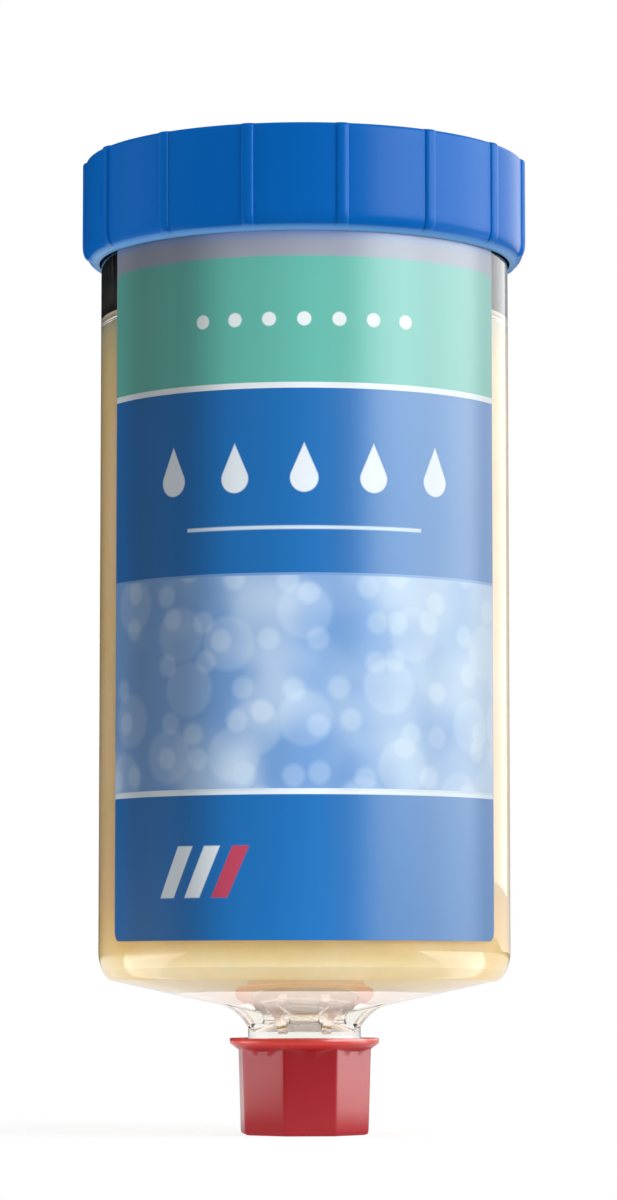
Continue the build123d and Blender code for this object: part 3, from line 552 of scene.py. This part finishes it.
def ribbed_ring_tree():
    """Offsets the outside of a turned collar by evenly spaced half-round ribs."""
    tree = bpy.data.node_groups.new("ribbed_collar", "GeometryNodeTree")
    calc = partial(maths, tree)
    face = tree.interface
    face.new_socket("Geometry", in_out="INPUT", socket_type="NodeSocketGeometry")
    for label in ("Rib count", "First rib turn", "Rib half width", "Rib height", "Side radius"):
        face.new_socket(label, in_out="INPUT", socket_type="NodeSocketFloat")
    face.new_socket("Finish", in_out="INPUT", socket_type="NodeSocketMaterial")
    face.new_socket("Geometry", in_out="OUTPUT", socket_type="NodeSocketGeometry")
    given = add(tree, "NodeGroupInput").outputs
    point = add(tree, "GeometryNodeInputPosition").outputs[0]
    flat = add(tree, "ShaderNodeVectorMath", {0: point, 1: (1, 1, 0)}, operation="MULTIPLY").outputs[0]
    outward = add(tree, "ShaderNodeVectorMath", {0: flat}, operation="NORMALIZE").outputs[0]
    parts = add(tree, "ShaderNodeSeparateXYZ", {0: point}).outputs

    # how far round the collar the nearest rib is, and how high its half-round crown stands there
    angle = calc("ARCTAN2", parts[1], parts[0])
    turn = calc("DIVIDE", calc("SUBTRACT", angle, given["First rib turn"]), 2 * pi)
    phase = calc("MULTIPLY", calc("ADD", turn, 2.0), given["Rib count"])
    off = calc("ABSOLUTE", calc("SUBTRACT", calc("FRACT", calc("ADD", phase, 0.5)), 0.5))
    distance = calc("DIVIDE", calc("MULTIPLY", off, 2 * pi * RING * MM), given["Rib count"])
    share = calc("DIVIDE", distance, given["Rib half width"])
    crown = calc("SQRT", calc("MAXIMUM", 0.0, calc("SUBTRACT", 1.0, calc("MULTIPLY", share, share))))
    # only the side is ribbed; towards the bore the ribs run out
    side = eased(tree, length(tree, flat), calc("SUBTRACT", given["Side radius"], 1.1 * MM),
                 calc("SUBTRACT", given["Side radius"], 0.25 * MM))
    rise = calc("MULTIPLY", calc("MULTIPLY", crown, side), given["Rib height"])
    push = add(tree, "ShaderNodeVectorMath", {0: outward, "Scale": rise}, operation="SCALE")
    moved = add(tree, "GeometryNodeSetPosition", {"Geometry": given["Geometry"], "Offset": push.outputs[0]})
    real = add(tree, "GeometryNodeRealizeInstances", {0: moved.outputs[0]})
    dressed = add(tree, "GeometryNodeSetMaterial", {"Geometry": real.outputs[0], "Material": given["Finish"]})
    add(tree, "NodeGroupOutput", {0: dressed.outputs[0]})
    return tree


def grown(mesh, tree, inputs):
    """The plain mesh that a node tree makes from a mesh, with its inputs set by identifier."""
    holder = bpy.data.objects.new("holder", mesh)
    bpy.context.scene.collection.objects.link(holder)
    step = holder.modifiers.new("nodes", "NODES")
    step.node_group = tree
    for socket in tree.interface.items_tree:
        if socket.in_out == "INPUT" and socket.name in inputs:
            step[socket.identifier] = inputs[socket.name]
    graph = bpy.context.evaluated_depsgraph_get()
    result = bpy.data.meshes.new_from_object(holder.evaluated_get(graph))
    holder.modifiers.clear()
    bpy.data.objects.remove(holder)
    return result


# the columns of the collar are closest where a rib rises
RIBS, FIRST_RIB, RIB_HALF, RIB_HEIGHT = 15, -90 + 9.6, 0.75, 0.35
beside_rib = [0.35, 0.7, 1.0, 1.25, 1.45, 1.6, 1.66, 1.9, 2.2]
across_rib = [-a for a in reversed(beside_rib)] + [0] + beside_rib
collar_angles = []
for rib in range(RIBS):
    middle = FIRST_RIB + 24 * rib
    collar_angles += [middle + a for a in across_rib] + [middle + 2.2 + 19.6 * k / 12 for k in range(1, 12)]
collar_rows = [[(r * cos(radians(a)), r * sin(radians(a)), z) for a in collar_angles]
               for r, z in ring_outline]
collar = grown(skin("grip_collar", collar_rows, closed=True), ribbed_ring_tree(), {
    "Rib count": float(RIBS), "First rib turn": radians(FIRST_RIB), "Rib half width": RIB_HALF * MM,
    "Rib height": RIB_HEIGHT * MM, "Side radius": RING * MM, "Finish": ring_blue})
piece("grip_collar", collar, "cartridge", ring_blue, "blue_abs", "grip_ring", crease=40)

# ---------------------------------------------------------------- label
# Printed film wrapped round the front of the container, its top edge tucked under the collar. It
# has a bare margin, a green field, blue fields and a pale panel, each with plain motifs.
LABEL_IN, LABEL_OUT, LABEL_LOW, LABEL_HIGH, LABEL_HALF = 24.12, 24.24, 22.31, 104.1, 63.8
LABEL_CORNER = 1.2
PANEL_LOW, PANEL_HIGH, GREEN_LOW, GREEN_HIGH = 39.0, 63.2, 84.8, 99.5
rounding = [degrees(LABEL_CORNER * (1 - cos(radians(90 * k / 6))) / LABEL_OUT) for k in range(7)]
even = [-LABEL_HALF + 2 * LABEL_HALF * k / 160 for k in range(161)]
sides = sorted({-LABEL_HALF + a for a in rounding} | {LABEL_HALF - a for a in rounding}
               | {a for a in even if abs(a) < LABEL_HALF - rounding[-1] - 0.2})
film = bmesh.new()
strips = []
for a in sides:
    inset = radians(LABEL_HALF - abs(a)) * LABEL_OUT
    short = max(0.0, LABEL_CORNER - inset)
    cut = LABEL_CORNER - sqrt(max(0.0, LABEL_CORNER ** 2 - short ** 2))
    x, y = sin(radians(a)), -cos(radians(a))
    low, high = LABEL_LOW + cut, LABEL_HIGH - cut
    strips.append([film.verts.new((x * r * MM, y * r * MM, z * MM)) for r, z in (
        (LABEL_OUT, low), (LABEL_OUT, high), (LABEL_IN, high), (LABEL_IN, low))])
for left, right in zip(strips, strips[1:]):
    for i in range(4):
        film.faces.new((left[i], right[i], right[(i + 1) % 4], left[(i + 1) % 4]))
film.faces.new(strips[0])
film.faces.new(strips[-1][::-1])
bmesh.ops.recalc_face_normals(film, faces=film.faces)
label_mesh = bpy.data.meshes.new("label_film")
film.to_mesh(label_mesh)
film.free()

# printed film: fields of ink under a clear gloss. Height and the way round give millimetres on the
# film; the motifs are a row of dots, a row of drops over a rule, soft bubbles and slanting bars
printed, tree, shader = new_finish("printed_label_film")
calc = partial(maths, tree)
place, spot = own_place(tree)
turn = calc("ARCTAN2", spot["X"], calc("MULTIPLY", spot["Y"], -1.0))
across = calc("MULTIPLY", turn, LABEL_OUT)
upward = calc("MULTIPLY", spot["Z"], 1 / MM)


def inside(distance, soft=0.08):
    """1 where a distance in millimetres is below zero, eased over the edge of the ink."""
    return ramp(tree, distance, -soft, soft, 1.0, 0.0)


def within(value, middle, half):
    """1 where a value is no further than half from its middle."""
    return inside(calc("SUBTRACT", calc("ABSOLUTE", calc("SUBTRACT", value, middle)), half))


def hypotenuse(a, b):
    """How far a point is that lies a across and b up."""
    return calc("SQRT", calc("ADD", calc("MULTIPLY", a, a), calc("MULTIPLY", b, b)))


def repeated(first, pitch):
    """Distance across from the middle of the nearest of evenly spaced places, one pitch wide each."""
    places = calc("DIVIDE", calc("SUBTRACT", across, first), pitch)
    return calc("MULTIPLY", calc("SUBTRACT", calc("FRACT", places), 0.5), pitch)


def inked(base, colour, mask):
    """One colour printed over what is there, where the mask is 1."""
    return coloured(tree, mask, base, linear(colour))


# from the lower edge up: blue, a white line, the panel, blue, a white line, green, the margin
MARGIN, BLUE = "#9BA0B0", "#0A6CB6"
bands = [(20.0, BLUE), (38.3, "#E4EDF2"), (PANEL_LOW, "#6E9BD2"), (PANEL_HIGH, BLUE),
         (84.1, "#E8EEF0"), (GREEN_LOW, "#60B8A9"), (GREEN_HIGH, MARGIN)]
ink_now = toned(tree, ramp(tree, upward, 20.0, 105.0), 20.0, 105.0,
                [(z, linear(colour)) for z, colour in bands], kind="CONSTANT")

# the green field's upper corners are rounded
FIELD_CORNER = 1.2
half_wide = radians(LABEL_HALF) * LABEL_OUT - 0.1
side_off = calc("MAXIMUM", calc("SUBTRACT", calc("ABSOLUTE", across), half_wide - FIELD_CORNER), 0.0)
top_off = calc("MAXIMUM", calc("SUBTRACT", upward, GREEN_HIGH - FIELD_CORNER), 0.0)
ink_now = inked(ink_now, MARGIN, inside(calc("SUBTRACT", FIELD_CORNER, hypotenuse(side_off, top_off))))

# painted reflection of the collar: the bare silvery margin is tinted with the collar's blue close under it
ink_now = inked(ink_now, "#7FA3E6", ramp(tree, upward, 101.2, 102.6, 0.0, 0.85))

# pale panel: cloudy light that grows to the right, under two sizes of soft bubbles
flat = add(tree, "ShaderNodeCombineXYZ", {"X": across, "Y": upward}).outputs[0]
clouds = add(tree, "ShaderNodeTexNoise", {"Vector": flat, "Scale": 0.085, "Detail": 1.5},
             noise_dimensions="2D")
cloud = calc("ADD", clouds.outputs[0], ramp(tree, across, -24.0, 24.0, -0.22, 0.14))
bubbles = eased(tree, cloud, 0.3, 0.75, 0.0, 0.8)
for size, radius, weight in ((9.0, 3.1, 0.22), (5.0, 1.25, 0.3)):
    cells = add(tree, "ShaderNodeTexVoronoi", {"Vector": flat, "Scale": 1 / size, "Randomness": 0.8},
                voronoi_dimensions="2D")
    disc = inside(calc("SUBTRACT", calc("MULTIPLY", cells.outputs["Distance"], size), radius), 0.3)
    bubbles = calc("ADD", bubbles, calc("MULTIPLY", disc, weight), clamp=True)
panel = calc("MULTIPLY", inside(calc("SUBTRACT", PANEL_LOW, upward)),
             inside(calc("SUBTRACT", upward, PANEL_HIGH)))
ink_now = inked(ink_now, "#C3D8EE", calc("MULTIPLY", bubbles, panel))

# green field: a row of seven dots
DOT_PITCH, DOT_RADIUS, DOT_Z = 4.0, 0.8, 92.3
dots = hypotenuse(repeated(-3.5 * DOT_PITCH, DOT_PITCH), calc("SUBTRACT", upward, DOT_Z))
dots = inside(calc("SUBTRACT", dots, DOT_RADIUS))
ink_now = inked(ink_now, "#E9F1F0", calc("MULTIPLY", dots, within(across, 0.0, 3.5 * DOT_PITCH - 0.1)))

# blue field: five drops, each a disc under a pointed cone, and a rule below them
DROP_PITCH, DROP_RADIUS, DROP_Z, DROP_POINT = 8.0, 1.6, 74.2, 4.0
over, rise = repeated(-2.5 * DROP_PITCH, DROP_PITCH), calc("SUBTRACT", upward, DROP_Z)
disc = inside(calc("SUBTRACT", hypotenuse(over, rise), DROP_RADIUS))
narrow = calc("MULTIPLY", calc("SUBTRACT", DROP_POINT, rise), 0.436)
point = calc("MULTIPLY", inside(calc("SUBTRACT", calc("ABSOLUTE", over), narrow)),
             inside(calc("SUBTRACT", 0.64, rise)))
row = within(across, 0.0, 2.5 * DROP_PITCH - 0.1)
ink_now = inked(ink_now, "#E4ECF2", calc("MULTIPLY", calc("MAXIMUM", disc, point), row))
ink_now = inked(ink_now, "#CFE0EE", calc("MULTIPLY", within(across, 0.0, 14.0), within(upward, 68.6, 0.2)))

# lower blue field: three slanting bars near the left, the last one red
BARS_Z, BAR_LEAN, BAR_HALF_HEIGHT, BAR_HALF_WIDTH = 30.0, 0.45, 2.9, 1.0
bar_rise = calc("SUBTRACT", upward, BARS_Z)
leaning = calc("SUBTRACT", across, calc("MULTIPLY", bar_rise, BAR_LEAN))
level_with = calc("SUBTRACT", calc("ABSOLUTE", bar_rise), BAR_HALF_HEIGHT)
for middle, bar_colour in ((-15.5, "#E4ECF2"), (-12.0, "#E4ECF2"), (-8.5, "#C2405E")):
    beside = calc("SUBTRACT", calc("ABSOLUTE", calc("SUBTRACT", leaning, middle)), BAR_HALF_WIDTH)
    ink_now = inked(ink_now, bar_colour, inside(calc("MAXIMUM", beside, level_with)))

# painted shade: the film's colours are darkened towards its left and again towards its right, for how the
# light falls round the wall
painted_shade_steps = [(-LABEL_HALF, 0.5), (-50.0, 0.35), (-37.0, 0.42), (-16.0, 0.88), (2.0, 0.96), (13.0, 0.82),
         (24.5, 0.6), (38.0, 0.48), (LABEL_HALF, 0.44)]
shade = toned(tree, ramp(tree, calc("DEGREES", turn), -LABEL_HALF, LABEL_HALF), -LABEL_HALF, LABEL_HALF,
              [(angle, (part, part, part, 1)) for angle, part in painted_shade_steps], kind="EASE")
ink_with_painted_shade = add(tree, "ShaderNodeMix", {0: 1.0, 6: ink_now, 7: shade}, data_type="RGBA", blend_type="MULTIPLY")
# the film lies very slightly wavy on the wall
waves = noise(tree, place, 90.0, 2.0)
feed(tree, shader, {
    "Base Color": ink_with_painted_shade.outputs[2], "Specular Tint": (0.88, 1.0, 1.0, 1.0),
    "Roughness": ramp(tree, waves, 0.0, 1.0, 0.31, 0.36),
    "Normal": bumped(tree, waves, 0.25, 0.0001)})
piece("printed_label", label_mesh, "cartridge", printed, "label_film", "label")

# ---------------------------------------------------------------- outlet plug
# A red screw cap with eight drafted flats and a flared lip, moulded in one with its thread. It
# comes off before the unit is screwed into a bearing.
PLUG_FLAT_BASE, PLUG_FLAT_TOP, PLUG_LIP, PLUG_TOP = 7.213, 7.51, 8.72, 11.2
PLUG_TURN, PLUG_ROUND = 5.5, 0.45
FLARE_LOW, FLARE_HIGH = 9.7, 10.6
HALF_SIDE = radians(22.5)


def eight_sided(apothem, z, rounding=PLUG_ROUND, least=0.0):
    """A row of points round an octagon with rounded corners, nowhere nearer the axis than least."""
    row = []
    reach = (apothem - rounding) / cos(HALF_SIDE)

    def rounded(corner_at, turn):
        """A point of the rounding of the corner at this angle."""
        a = corner_at + turn
        return reach * Vector((cos(corner_at), sin(corner_at))) + rounding * Vector((cos(a), sin(a)))

    for side in range(8):
        corner_at = radians(-90 + PLUG_TURN + 22.5 + 45 * side)
        row += [rounded(corner_at, HALF_SIDE * (k / 3 - 1)) for k in range(7)]
        start, end = row[-1], rounded(corner_at + 2 * HALF_SIDE, -HALF_SIDE)
        row += [start.lerp(end, k / 12) for k in range(1, 12)]
    return [tuple(p * max(1.0, least / p.length)) + (z,) for p in row]


def round_row(radius, z):
    """A circular row with its points at the octagon's angles."""
    return [tuple(Vector(p[:2]).normalized() * radius) + (z,) for p in eight_sided(PLUG_FLAT_TOP, z)]


def flat_at(z):
    """The plug's half width at a height, by its draft."""
    return PLUG_FLAT_BASE + (PLUG_FLAT_TOP - PLUG_FLAT_BASE) * z / FLARE_HIGH


plug_rows = [round_row(0, 0.0), round_row(3.0, 0.0)]
plug_rows += [eight_sided(flat_at(0) - inset, z, rounding) for inset, z, rounding in (
    (0.6, 0.0, 0.3), (0.35, 0.03, 0.35), (0.12, 0.13, 0.4), (0.02, 0.32, 0.45))]
plug_rows += [eight_sided(flat_at(z), z) for z in (0.6, 3.0, 6.0, 9.0, FLARE_LOW)]
for z in (9.85, 10.0, 10.15, 10.3, 10.42, 10.52):
    flared = (z - FLARE_LOW) / (FLARE_HIGH - FLARE_LOW)
    plug_rows.append(eight_sided(flat_at(z), z, least=PLUG_FLAT_TOP + (PLUG_LIP - PLUG_FLAT_TOP) * flared))
plug_rows += [round_row(r, z) for r, z in (
    (8.69, FLARE_HIGH), (PLUG_LIP, 10.68), (PLUG_LIP, 11.08), (8.69, 11.17), (8.6, PLUG_TOP), (7.0, PLUG_TOP),
    (6.86, 11.14), (6.83, 11.0), (6.53, 1.6), (6.4, 1.42), (6.2, 1.4), (0, 1.4))]
# red polyethylene: soft gloss with a slow drift of tone; the thin lip is painted paler, a painted highlight
# for the light that reaches it from above through the clear neck
plug_red = moulded("red_cap_plastic", "#930F18", "#8A0D16", 0.4, 0.02, 0.2, 0.66)
paler_edge(plug_red, "#BE3933", 9.9, 10.7)
piece("screw_plug", skin("screw_plug", plug_rows), "plug", plug_red, "red_plastic", "outlet_plug", crease=40)

# ---------------------------------------------------------------- inside the drive head
# Button cells in a moulded holder under a green circuit board: the gas cell sits on a rubber
# washer over its port, and the two batteries are joined by a nickel strip.


def wear(node, material):
    """A solid that is right as it is takes only its finish."""
    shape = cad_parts[node]
    shape.data.materials.clear()
    shape.data.materials.append(material)


def metal(name, colour, brush, roughness):
    """Plated steel with fine drawn lines, which catch the light unevenly."""
    finish, tree, shader = new_finish(name)
    place, _ = own_place(tree)
    lines = add(tree, "ShaderNodeMapping", {0: place, "Scale": (brush, 20.0, 20.0)}).outputs[0]
    streaks = noise(tree, lines, 40.0, 3.0)
    feed(tree, shader, {
        "Base Color": linear(colour), "Metallic": 1.0,
        "Roughness": ramp(tree, streaks, 0.0, 1.0, roughness - 0.08, roughness + 0.1)})
    return finish


nickel = metal("nickel_plated_can", "#C9C8C2", 200.0, 0.3)
spring_steel = metal("plated_spring_strip", "#CFCBBF", 120.0, 0.28)
resist = moulded("green_solder_resist", "#1D5A34", "#174B2B", 0.2, 0.01, 0.32)
chip = moulded("black_chip_ceramic", "#26282A", "#1C1D1F", 0.1, 0.01, 0.5)
natural = moulded("natural_holder_plastic", "#D8D6CC", "#CBC9BE", 0.35, 0.02, 0.42)
for node, finish in (("circuit_board", resist), ("setting_resistors", chip), ("cell_holder", natural),
                     ("gas_cell", nickel), ("battery_1", nickel), ("battery_2", nickel),
                     ("gas_cell_seal", rubber), ("battery_link", spring_steel),
                     ("gas_cell_contact", spring_steel), ("battery_contact_1", spring_steel),
                     ("battery_contact_2", spring_steel), ("dial_wiper", spring_steel)):
    wear(node, finish)
